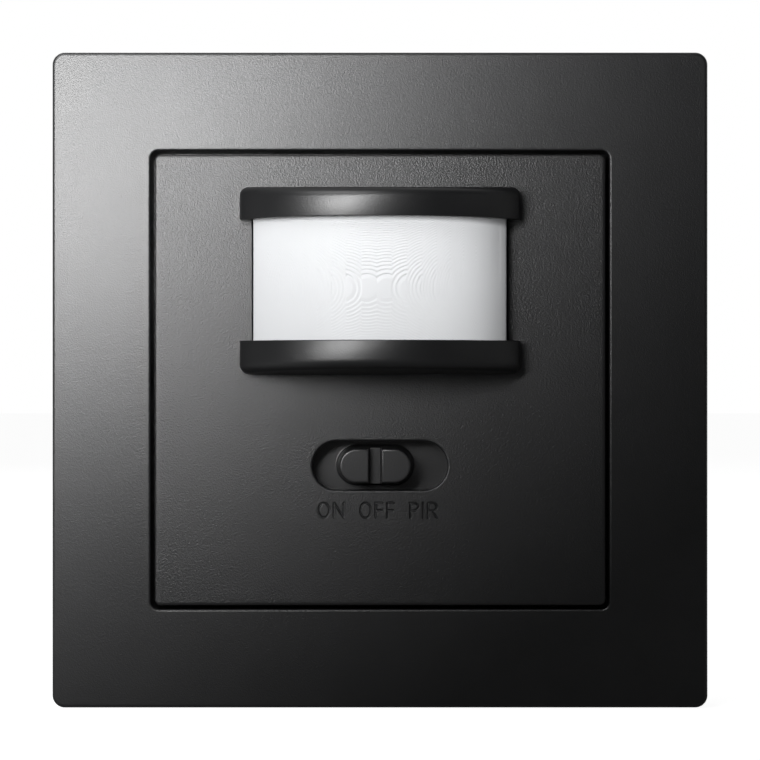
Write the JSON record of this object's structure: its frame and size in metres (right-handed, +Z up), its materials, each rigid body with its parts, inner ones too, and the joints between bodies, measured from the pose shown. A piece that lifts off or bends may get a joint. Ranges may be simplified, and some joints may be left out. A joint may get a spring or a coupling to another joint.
{
  "type": "motion sensor light switch",
  "caption": "Square flush-mounted wall switch with a motion sensor behind a curved lens, a sliding mode knob, a support ring with spreading claws and a boxed device behind it.",
  "frame": {"origin": "middle of the wall-screw pattern, on the wall's plane", "axes": "+X right as seen from the room, +Y into the wall, +Z up"},
  "size_m": [0.08, 0.052, 0.08],
  "materials": {
    "frame_plastic": "fine-textured black",
    "plate_plastic": "fine-textured black, smoother on the brims",
    "knob_plastic": "satin black",
    "lens_plastic": "milky translucent white with fine prism rings",
    "inner_plastic": "dark grey moulding",
    "housing_plastic": "light grey moulding",
    "ring_steel": "zinc plated",
    "claw_steel": "zinc plated spring steel",
    "screw_steel": "zinc plated screw",
    "nut_brass": "machined brass",
    "board": "green solder mask on glass fibre",
    "can_metal": "nickel plated can",
    "filter_window": "dark infrared filter",
    "clear_resin": "clear moulded resin",
    "tinned_wire": "tinned",
    "switch_metal": "tinned steel shell",
    "black_resin": "moulded black resin",
    "trimmer_plastic": "blue moulding",
    "rotor_plastic": "white moulding",
    "chip_ceramic": "ceramic with tinned ends",
    "capacitor_sleeve": "dark blue sleeve",
    "relay_plastic": "dark blue relay case",
    "coil_copper": "enamelled copper winding",
    "soft_iron": "plated soft iron",
    "contact_alloy": "spring bronze with silver tips",
    "film_case": "yellow case",
    "varistor_coat": "blue dipped coat",
    "resistor_coat": "grey green cement coat",
    "terminal_plastic": "black heat-proof moulding"
  },
  "bodies": {
    "root": {"cover_frame": "frame_plastic", "centre_plate": "plate_plastic", "fresnel_lens": "lens_plastic", "lens_retainer": "inner_plastic", "retainer_screws": "screw_steel", "support_ring": "ring_steel", "module_front": "inner_plastic", "rear_housing": "housing_plastic", "housing_screws": "screw_steel", "sensor_board": "board", "power_board": "board", "pyro_spacer": "inner_plastic", "pyro_can": "can_metal", "pyro_window": "filter_window", "pyro_leads": "tinned_wire", "light_sensor": "clear_resin", "slide_switch_shell": "switch_metal", "slide_switch_base": "black_resin", "slide_switch_terminals": "tinned_wire", "lux_trimmer_body": "trimmer_plastic", "time_trimmer_body": "trimmer_plastic", "sensor_chip": "black_resin", "chip_components": "chip_ceramic", "sensor_capacitors": "capacitor_sleeve", "board_header": "black_resin", "header_socket": "black_resin", "relay_base": "black_resin", "relay_cover": "relay_plastic", "relay_coil": "coil_copper", "relay_yoke": "soft_iron", "relay_contacts": "contact_alloy", "film_capacitor": "film_case", "smoothing_capacitor": "capacitor_sleeve", "filter_capacitor": "capacitor_sleeve", "bridge_rectifier": "black_resin", "varistor": "varistor_coat", "fuse_resistor": "resistor_coat", "terminal_block": "terminal_plastic", "terminal_bars": "contact_alloy"},
    "mode_slider": {"mode_knob": "knob_plastic", "slide_switch_lever": "black_resin", "slide_switch_contact": "contact_alloy"},
    "lux_rotor": {"lux_trimmer_rotor": "rotor_plastic"},
    "time_rotor": {"time_trimmer_rotor": "rotor_plastic"},
    "armature": {"relay_armature": "soft_iron"},
    "claw_screw_left": {"claw_screw_left": "screw_steel"},
    "claw_nut_left": {"claw_nut_left": "nut_brass"},
    "claw_left": {"claw_left": "claw_steel"},
    "claw_screw_right": {"claw_screw_right": "screw_steel"},
    "claw_nut_right": {"claw_nut_right": "nut_brass"},
    "claw_right": {"claw_right": "claw_steel"},
    "terminal_screw_1": {"terminal_screw_1": "screw_steel"},
    "terminal_cage_1": {"terminal_cage_1": "switch_metal"},
    "terminal_screw_2": {"terminal_screw_2": "screw_steel"},
    "terminal_cage_2": {"terminal_cage_2": "switch_metal"},
    "terminal_screw_3": {"terminal_screw_3": "screw_steel"},
    "terminal_cage_3": {"terminal_cage_3": "switch_metal"}
  },
  "joints": [
    {"name": "mode_slide", "type": "slide", "parent": "root", "child": "mode_slider", "axis": [1, 0, 0], "range_m": [-0.0026, 0.0026]},
    {"name": "lux_turn", "type": "hinge", "parent": "root", "child": "lux_rotor", "pos_m": [0.01, 0, -0.0184], "axis": [0, 1, 0], "range_deg": [-135, 135]},
    {"name": "time_turn", "type": "hinge", "parent": "root", "child": "time_rotor", "pos_m": [-0.01, 0, -0.0184], "axis": [0, 1, 0], "range_deg": [-135, 135]},
    {"name": "armature_pull", "type": "hinge", "parent": "root", "child": "armature", "pos_m": [-0.0046, 0.0264, 0.0082], "axis": [0, 0, 1], "range_deg": [0, 2.6], "stiffness_Nm_per_rad": 0.01},
    {"name": "claw_screw_left_turn", "type": "hinge", "parent": "root", "child": "claw_screw_left", "pos_m": [-0.0249, 0, -0.0065], "axis": [0, 1, 0], "range_deg": [0, 3600]},
    {"name": "claw_nut_left_slide", "type": "slide", "parent": "root", "child": "claw_nut_left", "axis": [0, -1, 0], "range_m": [0, 0.005]},
    {"name": "claw_left_spread", "type": "hinge", "parent": "claw_nut_left", "child": "claw_left", "pos_m": [-0.0249, 0.01225, -0.0065], "axis": [0, 0, 1], "range_deg": [0, 16]},
    {"name": "claw_screw_right_turn", "type": "hinge", "parent": "root", "child": "claw_screw_right", "pos_m": [0.0249, 0, -0.0065], "axis": [0, 1, 0], "range_deg": [0, 3600]},
    {"name": "claw_nut_right_slide", "type": "slide", "parent": "root", "child": "claw_nut_right", "axis": [0, -1, 0], "range_m": [0, 0.005]},
    {"name": "claw_right_spread", "type": "hinge", "parent": "claw_nut_right", "child": "claw_right", "pos_m": [0.0249, 0.01225, -0.0065], "axis": [0, 0, -1], "range_deg": [0, 16]},
    {"name": "terminal_screw_1_turn", "type": "hinge", "parent": "root", "child": "terminal_screw_1", "pos_m": [-0.0075, 0.03, -0.019], "axis": [0, -1, 0], "range_deg": [0, 1296]},
    {"name": "terminal_cage_1_lift", "type": "slide", "parent": "root", "child": "terminal_cage_1", "axis": [0, 1, 0], "range_m": [0, 0.0018]},
    {"name": "terminal_screw_2_turn", "type": "hinge", "parent": "root", "child": "terminal_screw_2", "pos_m": [0, 0.03, -0.019], "axis": [0, -1, 0], "range_deg": [0, 1296]},
    {"name": "terminal_cage_2_lift", "type": "slide", "parent": "root", "child": "terminal_cage_2", "axis": [0, 1, 0], "range_m": [0, 0.0018]},
    {"name": "terminal_screw_3_turn", "type": "hinge", "parent": "root", "child": "terminal_screw_3", "pos_m": [0.0075, 0.03, -0.019], "axis": [0, -1, 0], "range_deg": [0, 1296]},
    {"name": "terminal_cage_3_lift", "type": "slide", "parent": "root", "child": "terminal_cage_3", "axis": [0, 1, 0], "range_m": [0, 0.0018]}
  ],
  "couplings": [
    {"joint": "claw_screw_left_turn", "follows": "claw_nut_left_slide", "rad_per_m": 12560},
    {"joint": "claw_left_spread", "follows": "claw_nut_left_slide", "rad_per_m": 55.8},
    {"joint": "claw_screw_right_turn", "follows": "claw_nut_right_slide", "rad_per_m": 12560},
    {"joint": "claw_right_spread", "follows": "claw_nut_right_slide", "rad_per_m": 55.8},
    {"joint": "terminal_screw_1_turn", "follows": "terminal_cage_1_lift", "rad_per_m": 12560},
    {"joint": "terminal_screw_2_turn", "follows": "terminal_cage_2_lift", "rad_per_m": 12560},
    {"joint": "terminal_screw_3_turn", "follows": "terminal_cage_3_lift", "rad_per_m": 12560}
  ]
}
